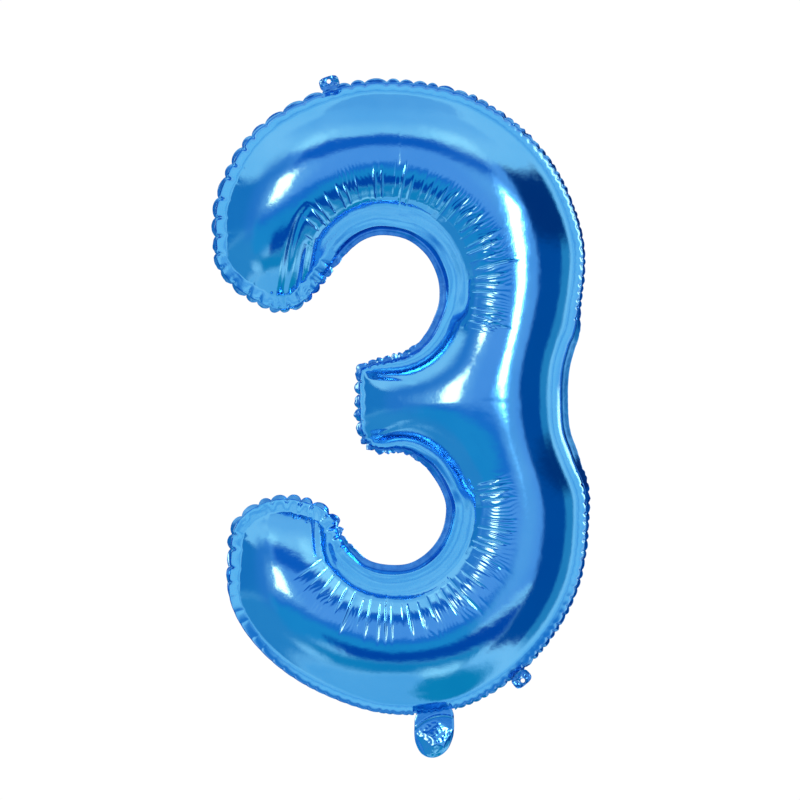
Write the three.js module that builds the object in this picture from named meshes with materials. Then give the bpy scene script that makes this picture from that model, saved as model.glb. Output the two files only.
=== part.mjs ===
// A foil balloon in the shape of the digit three, inflated, in millimetres, with +Z up.
// The digit stands in the XZ plane and faces -Y. Two pressed-out foil shells, front and back,
// meet at a welded seam margin in the plane y = 0. A flat filling tail hangs from the bottom
// seam with a sleeve valve of two thin films inside, and two punched hang tabs fold on the seam.
// The origin is the centre of the upper tab's punched hole, which the balloon hangs from.

import * as THREE from 'three';

// ---- driving dimensions, in millimetres and degrees ----

const WALL = 0.6; // foil shell thickness
const SEAM_HALF = 0.6; // half the thickness of the welded seam margin
const GAP = 0.3; // clearance between touching pieces
const MARGIN_OUTSIDE = 6; // seam margin width along the outer edge, where it is gathered
const MARGIN_INSIDE = 10; // seam margin width along the bowls and the spur
const MARGIN_LAP = 1.5; // how far the margin runs in under the shells' rims
const ROUNDNESS = 1; // depth of the shells' section against a half circle

// Each bowl is a ring section: its centre, then stations of angle, inner and outer radius.
const UPPER_BOWL = {
  x: -24,
  z: 149,
  stations: [
    [168, 87, 236],
    [150, 81, 263],
    [130, 83, 283],
    [110, 87, 288],
    [90, 89, 292],
    [65, 90, 297],
    [40, 89, 295],
    [15, 88, 286],
    [-8, 88, 272],
  ],
};
const LOWER_BOWL = {
  x: -15,
  z: -153,
  stations: [
    [2, 88, 274],
    [-22, 88, 281],
    [-45, 88, 286],
    [-68, 88, 290],
    [-90, 85, 282],
    [-112, 84, 270],
    [-132, 80, 264],
    [-150, 78, 254],
    [-168, 78, 224],
  ],
};

// Between the bowls the stroke is given by pairs of points: outer x, z, then inner x, z.
// The inner points run straight across the root of the spur.
const WAIST = [
  [234, 74, 54, 108],
  [226, 42, 42, 86],
  [224, 3, 42, -3],
  [227, -42, 47, -93],
  [240, -81, 65, -121],
];
const SPUR_ROOT_TOP = UPPER_BOWL.stations.length + 1; // station where the spur's upper edge leaves
const SPUR_ROOT_BOTTOM = SPUR_ROOT_TOP + 2;

// The rounded ends of the stroke, from its outer edge to its inner edge.
const UPPER_END = [[-248, 181], [-231, 161], [-205, 142], [-170, 127], [-136, 137]];
const LOWER_END = [
  [-230, -180], [-216, -160], [-187, -143], [-156, -138], [-131, -143], [-109, -151]];

// The spur between the bowls: its upper edge and lower edge from root to tip, and its blunt tip.
const SPUR_UPPER_EDGE = [[26, 70], [8, 60], [-14, 54], [-35, 50]];
const SPUR_LOWER_EDGE = [[33, -81], [17, -71], [0, -67], [-21, -68], [-39, -64]];
const SPUR_TIP = [[-53, 43], [-56, 28], [-56, 11], [-56, -14], [-54, -35], [-50, -53]];

const STEPS_PER_STATION = 3; // mesh columns between stations along the stroke
const END_STEPS = [0.06, 0.22, 0.5]; // closer columns next to the rounded ends
const ROWS = 8; // mesh rows across the stroke
const SPUR_ROWS = 6; // mesh rows along the spur
const SPUR_COLUMNS = 8; // mesh columns across the spur
const END_FADE = 1.6; // stations over which an end's rounded shape fades into the stroke
const DIRECTION_STEP = 0.05; // stations to either side, to find the seam's direction
const SWEEPS = 600; // of the membrane's relaxation
const OVER_RELAXATION = 1.8;
const CORNER_STEPS = 5; // straight pieces in a tab's corner
const ROUND_STEPS = 12; // straight pieces in the tail's rounded end

const TAB = { width: 28, reach: 14, corner: 6, hole: 3, holeOut: 7, thickness: 0.8 };
const UPPER_TAB_ANGLE = 104; // on the upper bowl's outer edge
const LOWER_TAB_ANGLE = -52; // on the lower bowl's outer edge

const TAIL = { angle: -77.5, width: 55, length: 62, roundness: 0.8, wall: 0.6, weld: 4 };
const HINGE_BELOW_SEAM = 1.5; // the tail's fold line
const FOLD_CLEARANCE = 2.5; // from a fold line to the pieces that fold
const TAIL_SIDE_GAP = 2; // from the tail's sides to the ends of the seam margin
const VALVE = { width: 42, inside: 150, short: 4, film: 0.2 }; // two films, short of the tail's end
const INK = { width: 34, inside: 70, thickness: 0.2 }; // keeps the films apart under the seam weld
const SLEEVE_END = 0.7; // from the fold line up to the fixed part of the valve

// ---- the digit's outline ----

const polar = (bowl, angle, radius) => {
  const a = THREE.MathUtils.degToRad(angle);
  return [bowl.x + radius * Math.cos(a), bowl.z + radius * Math.sin(a)];
};

const curve = (points) => {
  const line = new THREE.CatmullRomCurve3(
    points.map(([x, z]) => new THREE.Vector3(x, 0, z)), false, 'catmullrom', 0.5);
  return (t) => {
    const p = line.getPoint(THREE.MathUtils.clamp(t, 0, 1));
    return [p.x, p.z];
  };
};

const mix = (a, b, t) => [a[0] + (b[0] - a[0]) * t, a[1] + (b[1] - a[1]) * t];
const eased = (t) => (1 - Math.cos(Math.PI * t)) / 2; // close together at both ends
const steps = (count) => Array.from({ length: count + 1 }, (_, i) => i / count);

const bowlPairs = (bowl) => bowl.stations.map(([angle, inner, outer]) =>
  [polar(bowl, angle, outer), polar(bowl, angle, inner)]);
const pairs = [
  ...bowlPairs(UPPER_BOWL),
  ...WAIST.map(([ox, oz, ix, iz]) => [[ox, oz], [ix, iz]]),
  ...bowlPairs(LOWER_BOWL),
];
const LAST = pairs.length - 1;
const outsideLine = curve(pairs.map((p) => p[0]));
const outer = (station) => outsideLine(station / LAST);

// Each bowl's inner edge runs on into the spur's edge as one line. Between them the inner
// points only divide the mesh: they cross the root of the spur.
const insidePoints = pairs.map((p) => p[1]);
const aboveSpur = [
  ...insidePoints.slice(0, SPUR_ROOT_TOP + 1), ...SPUR_UPPER_EDGE, SPUR_TIP[0]];
const belowSpur = [
  SPUR_TIP.at(-1), ...SPUR_LOWER_EDGE.toReversed(), ...insidePoints.slice(SPUR_ROOT_BOTTOM)];
const aboveLine = curve(aboveSpur);
const belowLine = curve(belowSpur);
const aboveCount = aboveSpur.length - 1;
const belowCount = belowSpur.length - 1;
const lowerStart = belowCount - (LAST - SPUR_ROOT_BOTTOM);
const rootLine = curve(insidePoints.slice(SPUR_ROOT_TOP, SPUR_ROOT_BOTTOM + 1));
function inner(station) {
  if (station <= SPUR_ROOT_TOP) return aboveLine(station / aboveCount);
  if (station >= SPUR_ROOT_BOTTOM) {
    return belowLine((lowerStart + station - SPUR_ROOT_BOTTOM) / belowCount);
  }
  return rootLine((station - SPUR_ROOT_TOP) / (SPUR_ROOT_BOTTOM - SPUR_ROOT_TOP));
}
const spurTop = (t) => aboveLine((SPUR_ROOT_TOP + t * (aboveCount - SPUR_ROOT_TOP)) / aboveCount);
const spurBottom = (t) => belowLine((lowerStart * (1 - t)) / belowCount);
const spurTip = curve(SPUR_TIP);
const upperEnd = curve([outer(0), ...UPPER_END, inner(0)]);
const lowerEnd = curve([outer(LAST), ...LOWER_END, inner(LAST)]);

// ---- a flat mesh of the digit: columns along the stroke, rows across it, and the spur ----

const columns = [0, ...END_STEPS];
for (let s = 1; s < LAST; s += 1) {
  if (s === SPUR_ROOT_TOP) {
    const span = SPUR_ROOT_BOTTOM - SPUR_ROOT_TOP;
    columns.push(...steps(SPUR_COLUMNS).slice(0, -1).map((t) => s + span * eased(t)));
    s = SPUR_ROOT_BOTTOM;
  }
  if (s === LAST - 1) break;
  for (let k = 0; k < STEPS_PER_STATION; k += 1) columns.push(s + k / STEPS_PER_STATION);
}
columns.push(LAST - 1, ...END_STEPS.map((t) => LAST - t).reverse(), LAST);

const points = [];
const quads = [];
const addPoint = (p) => points.push(p) - 1;
const endPull = (distance) => Math.max(0, 1 - distance / END_FADE) ** 2;

const strokePoint = (station, t) => {
  const across = (s) => mix(outer(s), inner(s), t);
  let p = across(station);
  for (const [end, at] of [[upperEnd, 0], [lowerEnd, LAST]]) {
    const pull = endPull(Math.abs(station - at));
    const rounded = end(t);
    const flat = across(at);
    p = [p[0] + pull * (rounded[0] - flat[0]), p[1] + pull * (rounded[1] - flat[1])];
  }
  return p;
};

const stroke = columns.map((s) => steps(ROWS).map((t) => addPoint(strokePoint(s, eased(t)))));
for (let i = 0; i + 1 < stroke.length; i += 1) {
  for (let j = 0; j < ROWS; j += 1) {
    quads.push([stroke[i][j], stroke[i + 1][j], stroke[i + 1][j + 1], stroke[i][j + 1]]);
  }
}

const rootColumn = columns.indexOf(SPUR_ROOT_TOP);
const spurPoint = (along, across) => {
  const a = Math.sin((along * Math.PI) / 2);
  const b = eased(across);
  const root = points[stroke[rootColumn + Math.round(across * SPUR_COLUMNS)][ROWS]];
  const between = mix(spurTop(a), spurBottom(a), b);
  const lengthwise = mix(root, spurTip(b), a);
  const corners = mix(mix(spurTop(0), spurBottom(0), b), mix(spurTip(0), spurTip(1), b), a);
  return [between[0] + lengthwise[0] - corners[0], between[1] + lengthwise[1] - corners[1]];
};
const spur = steps(SPUR_ROWS).map((along, row) => steps(SPUR_COLUMNS).map((across, column) =>
  (row === 0 ? stroke[rootColumn + column][ROWS] : addPoint(spurPoint(along, across)))));
for (let i = 0; i < SPUR_ROWS; i += 1) {
  for (let j = 0; j < SPUR_COLUMNS; j += 1) {
    quads.push([spur[i][j], spur[i][j + 1], spur[i + 1][j + 1], spur[i + 1][j]]);
  }
}

// The rim is every edge that only one quad uses, followed round from the upper end.
const nextOnRim = new Map();
const edgeUses = new Set(quads.flatMap((q) => q.map((a, k) => `${a},${q[(k + 1) % 4]}`)));
for (const q of quads) {
  q.forEach((a, k) => {
    const b = q[(k + 1) % 4];
    if (!edgeUses.has(`${b},${a}`)) nextOnRim.set(a, b);
  });
}
const rim = [stroke[0][0]];
while (nextOnRim.get(rim.at(-1)) !== rim[0]) rim.push(nextOnRim.get(rim.at(-1)));

const rimOutward = new Map(rim.map((index, k) => {
  const before = points[rim.at(k - 1)];
  const after = points[rim[(k + 1) % rim.length]];
  const length = Math.hypot(after[0] - before[0], after[1] - before[1]);
  return [index, [-(after[1] - before[1]) / length, (after[0] - before[0]) / length]];
}));

// ---- inflation: the shell's height is the square root of a membrane's sag over the outline ----

const triangles = quads.flatMap(([a, b, c, d]) => [[a, b, c], [a, c, d]]);

function membrane() {
  const onRim = new Set(rim);
  const links = points.map(() => new Map());
  const load = new Float64Array(points.length);
  for (const t of triangles) {
    const [p, q, r] = t.map((k) => points[k]);
    const twice = Math.abs((q[0] - p[0]) * (r[1] - p[1]) - (q[1] - p[1]) * (r[0] - p[0]));
    t.forEach((a, k) => {
      const b = t[(k + 1) % 3];
      const c = points[t[(k + 2) % 3]];
      const [pa, pb] = [points[a], points[b]];
      const dot = (pa[0] - c[0]) * (pb[0] - c[0]) + (pa[1] - c[1]) * (pb[1] - c[1]);
      const weight = dot / twice / 2;
      links[a].set(b, (links[a].get(b) ?? 0) + weight);
      links[b].set(a, (links[b].get(a) ?? 0) + weight);
      load[a] += twice / 3;
    });
  }
  const sag = new Float64Array(points.length);
  for (let sweep = 0; sweep < SWEEPS; sweep += 1) {
    for (let a = 0; a < points.length; a += 1) {
      if (onRim.has(a)) continue;
      let sum = load[a];
      let total = 0;
      for (const [b, weight] of links[a]) {
        sum += weight * sag[b];
        total += weight;
      }
      sag[a] += OVER_RELAXATION * (sum / total - sag[a]);
    }
  }
  return sag;
}

const heights = Array.from(membrane(), (sag) => ROUNDNESS * Math.sqrt(Math.max(sag, 0)));

// ---- meshes ----

function solid(positions, faces) {
  const geometry = new THREE.BufferGeometry();
  geometry.setAttribute('position', new THREE.Float32BufferAttribute(positions.flat(), 3));
  geometry.setIndex(faces.flat());
  geometry.computeVertexNormals();
  return geometry;
}

// One foil shell. side is -1 for the front, which bulges towards -Y, and 1 for the back.
function foilShell(side) {
  const base = SEAM_HALF + GAP;
  const outside = points.map(([x, z], k) => new THREE.Vector3(x, side * (base + heights[k]), z));
  const face = ([a, b, c]) => (side < 0 ? [a, c, b] : [a, b, c]);
  const skin = triangles.map(face);
  const normals = outside.map(() => new THREE.Vector3());
  for (const [a, b, c] of skin) {
    const across = outside[b].clone().sub(outside[a]);
    const normal = across.cross(outside[c].clone().sub(outside[a]));
    [a, b, c].forEach((k) => normals[k].add(normal));
  }
  for (const [k, [x, z]] of rimOutward) normals[k].set(x, 0, z);
  const inside = outside.map((p, k) => p.clone().addScaledVector(normals[k].normalize(), -WALL));
  const count = points.length;
  const lining = skin.map(([a, b, c]) => [a + count, c + count, b + count]);
  const edge = rim.flatMap((a, k) => {
    const b = rim[(k + 1) % rim.length];
    return [[a, b + count, b], [a, a + count, b + count]].map(face);
  });
  return solid([...outside, ...inside].map((p) => p.toArray()), [...skin, ...lining, ...edge]);
}

// A flat plate in the XZ plane between two y values, from its outline and holes.
function plate(outline, yFrom, yTo, holes = []) {
  const shape = new THREE.Shape(outline.map(([x, z]) => new THREE.Vector2(x, z)));
  shape.holes.push(...holes);
  const geometry = new THREE.ExtrudeGeometry(shape, { depth: yTo - yFrom, bevelEnabled: false });
  return geometry.rotateX(Math.PI / 2).translate(0, yTo, 0);
}

// The outer edge's station at a bowl's angle, found by stepping between that bowl's stations.
function stationAt(bowl, angle, first) {
  const k = bowl.stations.findIndex(([a], i) => i > 0 && a <= angle);
  const [from, to] = [bowl.stations[k - 1][0], bowl.stations[k][0]];
  return first + k - 1 + (from - angle) / (from - to);
}
const LOWER_FIRST = LAST + 1 - LOWER_BOWL.stations.length;
const tailStation = stationAt(LOWER_BOWL, TAIL.angle, LOWER_FIRST);

// A frame on the outer seam: where it is, the direction along the seam, the way out, and the
// seam's length to one station.
function seamFrame(station) {
  const at = outer(station);
  const [before, after] = [outer(station - DIRECTION_STEP), outer(station + DIRECTION_STEP)];
  const length = Math.hypot(after[0] - before[0], after[1] - before[1]);
  const along = [(after[0] - before[0]) / length, (after[1] - before[1]) / length];
  return { at, along, out: [-along[1], along[0]], perStation: length / (2 * DIRECTION_STEP) };
}

// The welded seam margin: a flat strip round the outline, open where the tail's valve passes.
function seamMargin() {
  const halfGap = (TAIL.width / 2 + TAIL_SIDE_GAP) / seamFrame(tailStation).perStation;
  const start = tailStation + halfGap;
  const stop = tailStation - halfGap;
  const line = [{ p: outer(start), width: MARGIN_OUTSIDE }];
  const run = (path, from, to, count, width) => {
    for (const t of steps(count).slice(1)) line.push({ p: path(from + (to - from) * t), width });
  };
  const runStations = (path, from, to, width) =>
    run(path, from, to, Math.round(Math.abs(to - from) * STEPS_PER_STATION), width);
  runStations(outer, start, LAST, MARGIN_OUTSIDE);
  run(lowerEnd, 0, 1, ROWS, MARGIN_OUTSIDE);
  runStations(inner, LAST, SPUR_ROOT_BOTTOM, MARGIN_INSIDE);
  run(spurBottom, 0, 1, SPUR_ROWS, MARGIN_INSIDE);
  run(spurTip, 1, 0, SPUR_TIP.length - 1, MARGIN_OUTSIDE);
  run(spurTop, 1, 0, SPUR_ROWS, MARGIN_INSIDE);
  runStations(inner, SPUR_ROOT_TOP, 0, MARGIN_INSIDE);
  run(upperEnd, 1, 0, ROWS, MARGIN_OUTSIDE);
  runStations(outer, 0, stop, MARGIN_OUTSIDE);
  const loops = line.map(({ p, width }, k) => {
    const before = line[Math.max(k - 1, 0)].p;
    const after = line[Math.min(k + 1, line.length - 1)].p;
    const length = Math.hypot(after[0] - before[0], after[1] - before[1]);
    const out = [-(after[1] - before[1]) / length, (after[0] - before[0]) / length];
    const smooth = line.slice(Math.max(k - 2, 0), k + 3).map((c) => c.width);
    const reach = smooth.reduce((sum, w) => sum + w, 0) / smooth.length;
    return {
      near: [p[0] - out[0] * MARGIN_LAP, p[1] - out[1] * MARGIN_LAP],
      far: [p[0] + out[0] * reach, p[1] + out[1] * reach],
    };
  });
  const outline = [...loops.map((c) => c.far), ...loops.map((c) => c.near).reverse()];
  return plate(outline, -SEAM_HALF, SEAM_HALF);
}

// A hang tab: a rounded welded flap with a punched hole, standing on the seam margin's edge.
function tabAt(bowl, angle, first) {
  const { at, along, out } = seamFrame(stationAt(bowl, angle, first));
  const foldOut = MARGIN_OUTSIDE + GAP + TAB.thickness / 2;
  const fold = [at[0] + out[0] * foldOut, at[1] + out[1] * foldOut];
  const place = (u, v) => [
    fold[0] + along[0] * u + out[0] * v,
    fold[1] + along[1] * u + out[1] * v,
  ];
  const { width, reach, corner, hole, holeOut } = TAB;
  const corners = [[width / 2 - corner, 90, 0], [-width / 2 + corner, 180, 90]];
  const base = TAB.thickness / 2 + GAP;
  const outline = [place(-width / 2, base), place(width / 2, base)];
  for (const [u, from, to] of corners) {
    for (const t of steps(CORNER_STEPS).reverse()) {
      const a = THREE.MathUtils.degToRad(from + (to - from) * t);
      outline.push(place(u + corner * Math.cos(a), reach - corner + corner * Math.sin(a)));
    }
  }
  const centre = place(0, holeOut);
  const punched = new THREE.Path();
  punched.absarc(centre[0], centre[1], hole, 0, 2 * Math.PI, true);
  const half = TAB.thickness / 2;
  return { geometry: plate(outline, -half, half, [punched]), centre };
}

// A strip parallel to the tail's fold line. Its sides run straight down between two distances
// from the fold, measured downwards, and its lower end is straight or rounded.
function strip(fold, left, right, from, to, rounding, yFrom, yTo) {
  const slope = fold.along[1] / fold.along[0];
  const at = (x, drop) => [fold.at[0] + x, fold.at[1] + x * slope - drop];
  const [middle, half] = [(left + right) / 2, (right - left) / 2];
  const outline = [at(left, from), at(right, from)];
  for (const t of steps(rounding ? ROUND_STEPS : 1)) {
    const a = Math.PI * t;
    outline.push(at(middle + half * Math.cos(a), to - rounding * half * (1 - Math.sin(a))));
  }
  return plate(outline, yFrom, yTo);
}

// ---- materials ----

const finish = (color, roughness, metalness) =>
  new THREE.MeshStandardMaterial({ color, roughness, metalness, side: THREE.DoubleSide });
const blueFoil = finish(0x1f7fe0, 0.12, 1);
const blueMargin = finish(0x2b86e0, 0.2, 1);
const clearFilm = finish(0xd8e2ea, 0.3, 0);
const releaseInk = finish(0xf2f2ee, 0.6, 0);

function piece(name, geometry, material) {
  const mesh = new THREE.Mesh(geometry, material);
  mesh.name = name;
  return mesh;
}

// ---- the balloon ----

const upperTab = tabAt(UPPER_BOWL, UPPER_TAB_ANGLE, 0);
const lowerTab = tabAt(LOWER_BOWL, LOWER_TAB_ANGLE, LOWER_FIRST);

const seamAtTail = seamFrame(tailStation);
const fold = {
  along: [-seamAtTail.along[0], -seamAtTail.along[1]],
  at: [
    seamAtTail.at[0] + seamAtTail.out[0] * HINGE_BELOW_SEAM,
    seamAtTail.at[1] + seamAtTail.out[1] * HINGE_BELOW_SEAM,
  ],
};
const tailHalf = TAIL.width / 2;
const skinFrom = SEAM_HALF + GAP;
const skinTo = skinFrom + TAIL.wall;
const filmTo = SEAM_HALF;
const filmFrom = filmTo - VALVE.film;
const { roundness } = TAIL;
const straight = TAIL.length - roundness * tailHalf; // where the tail's sides start to round off
const tailSkin = (yFrom, yTo) =>
  strip(fold, -tailHalf, tailHalf, FOLD_CLEARANCE, TAIL.length, roundness, yFrom, yTo);
const tailWeld = (left) =>
  strip(fold, left, left + TAIL.weld, FOLD_CLEARANCE, straight, 0, -SEAM_HALF, SEAM_HALF);
const valveHalf = VALVE.width / 2;
const tailFilm = (yFrom, yTo) => strip(
  fold, -valveHalf, valveHalf, FOLD_CLEARANCE, TAIL.length - VALVE.short, roundness, yFrom, yTo);
const sleeve = (half, inside, yFrom, yTo) =>
  strip(fold, -half, half, -inside, -SLEEVE_END, 0, yFrom, yTo);

const balloon = new THREE.Group();
balloon.add(
  piece('front_foil', foilShell(-1), blueFoil),
  piece('back_foil', foilShell(1), blueFoil),
  piece('seam_margin', seamMargin(), blueMargin),
  piece('upper_hang_tab', upperTab.geometry, blueMargin),
  piece('lower_hang_tab', lowerTab.geometry, blueMargin),
  piece('tail_front_foil', tailSkin(-skinTo, -skinFrom), blueFoil),
  piece('tail_back_foil', tailSkin(skinFrom, skinTo), blueFoil),
  piece('tail_weld_left', tailWeld(-tailHalf), blueMargin),
  piece('tail_weld_right', tailWeld(tailHalf - TAIL.weld), blueMargin),
  piece('tail_valve_film_front', tailFilm(-filmTo, -filmFrom), clearFilm),
  piece('tail_valve_film_back', tailFilm(filmFrom, filmTo), clearFilm),
  piece('sleeve_valve_film_front', sleeve(valveHalf, VALVE.inside, -filmTo, -filmFrom), clearFilm),
  piece('sleeve_valve_film_back', sleeve(valveHalf, VALVE.inside, filmFrom, filmTo), clearFilm),
  piece('valve_release_ink',
    sleeve(INK.width / 2, INK.inside, -INK.thickness / 2, INK.thickness / 2), releaseInk),
);
balloon.position.set(-upperTab.centre[0], 0, -upperTab.centre[1]);

const model = new THREE.Group();
model.add(balloon);

export default model;
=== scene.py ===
"""The looks of an inflated foil balloon in the shape of the digit three, in Blender 4.5, in metres.

The digit's outline is worked out flat, round its own centre, as in the CAD source, then inflated as a
membrane, wrinkled and moved into the row frame, whose origin is the upper tab's punched hole.
"""
import copy

import bpy
import numpy as np
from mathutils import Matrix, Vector, kdtree


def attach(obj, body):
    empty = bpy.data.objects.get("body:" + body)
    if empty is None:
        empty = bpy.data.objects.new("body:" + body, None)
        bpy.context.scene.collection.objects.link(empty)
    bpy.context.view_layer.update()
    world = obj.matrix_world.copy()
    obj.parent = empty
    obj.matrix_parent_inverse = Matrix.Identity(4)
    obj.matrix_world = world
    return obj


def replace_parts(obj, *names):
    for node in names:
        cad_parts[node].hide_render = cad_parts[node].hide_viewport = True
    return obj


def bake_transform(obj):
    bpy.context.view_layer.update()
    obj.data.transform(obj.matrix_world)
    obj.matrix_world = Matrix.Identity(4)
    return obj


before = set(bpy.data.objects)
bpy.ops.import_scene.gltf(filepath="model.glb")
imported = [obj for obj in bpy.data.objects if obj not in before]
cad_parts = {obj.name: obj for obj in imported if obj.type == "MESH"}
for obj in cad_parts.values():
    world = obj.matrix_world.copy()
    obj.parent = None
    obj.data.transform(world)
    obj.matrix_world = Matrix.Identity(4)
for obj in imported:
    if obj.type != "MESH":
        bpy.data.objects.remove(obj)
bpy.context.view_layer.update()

# ---- driving dimensions, in metres and degrees, as in the CAD source ----

# Each bowl is a ring section: its centre, then stations of angle, inner and outer radius.
UPPER_BOWL = ((-0.024, 0.149), [
    (168, 0.087, 0.236), (150, 0.081, 0.263), (130, 0.083, 0.283), (110, 0.087, 0.288),
    (90, 0.089, 0.292), (65, 0.090, 0.297), (40, 0.089, 0.295), (15, 0.088, 0.286),
    (-8, 0.088, 0.272)])
LOWER_BOWL = ((-0.015, -0.153), [
    (2, 0.088, 0.274), (-22, 0.088, 0.281), (-45, 0.088, 0.286), (-68, 0.088, 0.290),
    (-90, 0.085, 0.282), (-112, 0.084, 0.270), (-132, 0.080, 0.264), (-150, 0.078, 0.254),
    (-168, 0.078, 0.224)])
# Between the bowls the stroke is given by pairs of points: outer x, z, then inner x, z.
WAIST = [
    (0.234, 0.074, 0.054, 0.108), (0.226, 0.042, 0.042, 0.086), (0.224, 0.003, 0.042, -0.003),
    (0.227, -0.042, 0.047, -0.093), (0.240, -0.081, 0.065, -0.121)]
UPPER_END = [(-0.248, 0.181), (-0.231, 0.161), (-0.205, 0.142), (-0.170, 0.127), (-0.136, 0.137)]
LOWER_END = [
    (-0.230, -0.180), (-0.216, -0.160), (-0.187, -0.143), (-0.156, -0.138), (-0.131, -0.143),
    (-0.109, -0.151)]
SPUR_UPPER_EDGE = [(0.026, 0.070), (0.008, 0.060), (-0.014, 0.054), (-0.035, 0.050)]
SPUR_LOWER_EDGE = [
    (0.033, -0.081), (0.017, -0.071), (0.000, -0.067), (-0.021, -0.068), (-0.039, -0.064)]
SPUR_TIP = [
    (-0.053, 0.043), (-0.056, 0.028), (-0.056, 0.011), (-0.056, -0.014), (-0.054, -0.035),
    (-0.050, -0.053)]
ROOT_TOP = len(UPPER_BOWL[1]) + 1  # station where the spur's upper edge leaves the stroke
ROOT_BOTTOM = ROOT_TOP + 2  # and where its lower edge does
END_FADE = 1.6  # stations over which an end's rounded shape fades into the stroke

SEAM_HALF = 0.0004  # half the thickness of the welded margin
MARGIN_LAP = 0.0015  # how far the margin runs in under the foils' rims
TAB_WIDTH, TAB_REACH, TAB_HOLE, TAB_HOLE_OUT = 0.028, 0.014, 0.003, 0.007
TAB_FOLD_OUT = 0.0067  # from the seam out to a tab's fold line
UPPER_TAB_ANGLE, LOWER_TAB_ANGLE = 104, -52
TAIL_ANGLE, TAIL_WIDTH, TAIL_LENGTH = -77.5, 0.055, 0.062
HINGE_BELOW_SEAM = 0.0015
POUCH_ROUNDING = 0.034  # length over which the pouch narrows to its end
# The pouch's facets: depth at its middle, then slopes across and down.
TAIL_FACETS = [
    (0.0083, 0.30, 0.08), (0.0112, -0.25, 0.05), (0.0070, 0.12, 0.30), (0.0076, -0.20, 0.33),
    (0.0140, 0.60, -0.25), (0.0152, 0.05, -0.42)]
TAIL_SIDE_GAP = 0.0005  # from the tail's sides to the ends of the seam margin

# ---- the digit's outline ----


def curve(points):
    """A uniform Catmull-Rom line through the points, as a function of 0 to 1."""
    points = np.array(points, float)
    last = len(points) - 1
    padded = np.vstack([2 * points[0] - points[1], points, 2 * points[-1] - points[-2]])

    def at(t):
        x = np.clip(np.asarray(t, float), 0, 1) * last
        k = np.minimum(x.astype(int), last - 1)
        w = (x - k)[..., None]
        a, b, c, d = (padded[k + i] for i in range(4))
        square = a - 2.5 * b + 2 * c - 0.5 * d
        cube = 1.5 * (b - c) + 0.5 * (d - a)
        return b + w * (c - a) / 2 + w**2 * square + w**3 * cube

    return at


def polar(centre, angle, radius):
    a = np.radians(angle)
    return centre[0] + radius * np.cos(a), centre[1] + radius * np.sin(a)


def bowl_pairs(bowl):
    centre, stations = bowl
    return [(polar(centre, a, outside), polar(centre, a, inside)) for a, inside, outside in stations]


PAIRS = (bowl_pairs(UPPER_BOWL) + [((w[0], w[1]), (w[2], w[3])) for w in WAIST]
         + bowl_pairs(LOWER_BOWL))
LAST = len(PAIRS) - 1
LOWER_FIRST = LAST + 1 - len(LOWER_BOWL[1])
INSIDE = [p[1] for p in PAIRS]
ABOVE = INSIDE[:ROOT_TOP + 1] + SPUR_UPPER_EDGE + SPUR_TIP[:1]
BELOW = SPUR_TIP[-1:] + SPUR_LOWER_EDGE[::-1] + INSIDE[ROOT_BOTTOM:]
ABOVE_COUNT = len(ABOVE) - 1
BELOW_COUNT = len(BELOW) - 1
LOWER_START = BELOW_COUNT - (LAST - ROOT_BOTTOM)
outside_line = curve([p[0] for p in PAIRS])
above_line = curve(ABOVE)
below_line = curve(BELOW)
root_line = curve(INSIDE[ROOT_TOP:ROOT_BOTTOM + 1])


def outer(s):
    return outside_line(np.asarray(s, float) / LAST)


def inner(s):
    s = np.asarray(s, float)
    above = above_line(s / ABOVE_COUNT)
    below = below_line((LOWER_START + s - ROOT_BOTTOM) / BELOW_COUNT)
    root = root_line((s - ROOT_TOP) / (ROOT_BOTTOM - ROOT_TOP))
    s = s[..., None]
    return np.where(s <= ROOT_TOP, above, np.where(s >= ROOT_BOTTOM, below, root))


def spur_top(t):
    return above_line((ROOT_TOP + t * (ABOVE_COUNT - ROOT_TOP)) / ABOVE_COUNT)


def spur_bottom(t):
    return below_line(LOWER_START * (1 - t) / BELOW_COUNT)


spur_tip = curve(SPUR_TIP)
upper_end = curve([outer(0)] + UPPER_END + [inner(0)])
lower_end = curve([outer(LAST)] + LOWER_END + [inner(LAST)])


def mix(a, b, w):
    return a + (b - a) * w[..., None]


def stroke_point(s, t):
    """Points of the flat digit at stations s and shares t of the way from the outer edge inwards."""
    p = mix(outer(s), inner(s), t)
    for end, at in ((upper_end, 0.0), (lower_end, float(LAST))):
        pull = np.clip(1 - np.abs(s - at) / END_FADE, 0, None) ** 2
        flat = mix(outer(np.full_like(s, at)), inner(np.full_like(s, at)), t)
        p = p + pull[..., None] * (end(t) - flat)
    return p


def spur_point(a, b):
    """Points of the spur, a from its root to its tip and b from its upper to its lower edge."""
    zero, one = np.zeros_like(a), np.ones_like(a)
    between = mix(spur_top(a), spur_bottom(a), b)
    lengthwise = mix(root_line(b), spur_tip(b), a)
    near = mix(spur_top(zero), spur_bottom(zero), b)
    far = mix(spur_tip(zero), spur_tip(one), b)
    return between + lengthwise - mix(near, far, a)


def station_at(bowl, angle, first):
    angles = np.array([s[0] for s in bowl[1]], float)
    return first + np.interp(-angle, -angles, np.arange(len(angles)))


def seam_frame(s):
    """On the outer seam: the place, the way along it and the way out."""
    step = outer(s + 0.05) - outer(s - 0.05)
    along = step / np.linalg.norm(step)
    return outer(s), along, np.array([-along[1], along[0]])


def tab_frame(bowl, angle, first):
    at, along, out = seam_frame(station_at(bowl, angle, first))
    return at + out * TAB_FOLD_OUT, along, out


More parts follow.
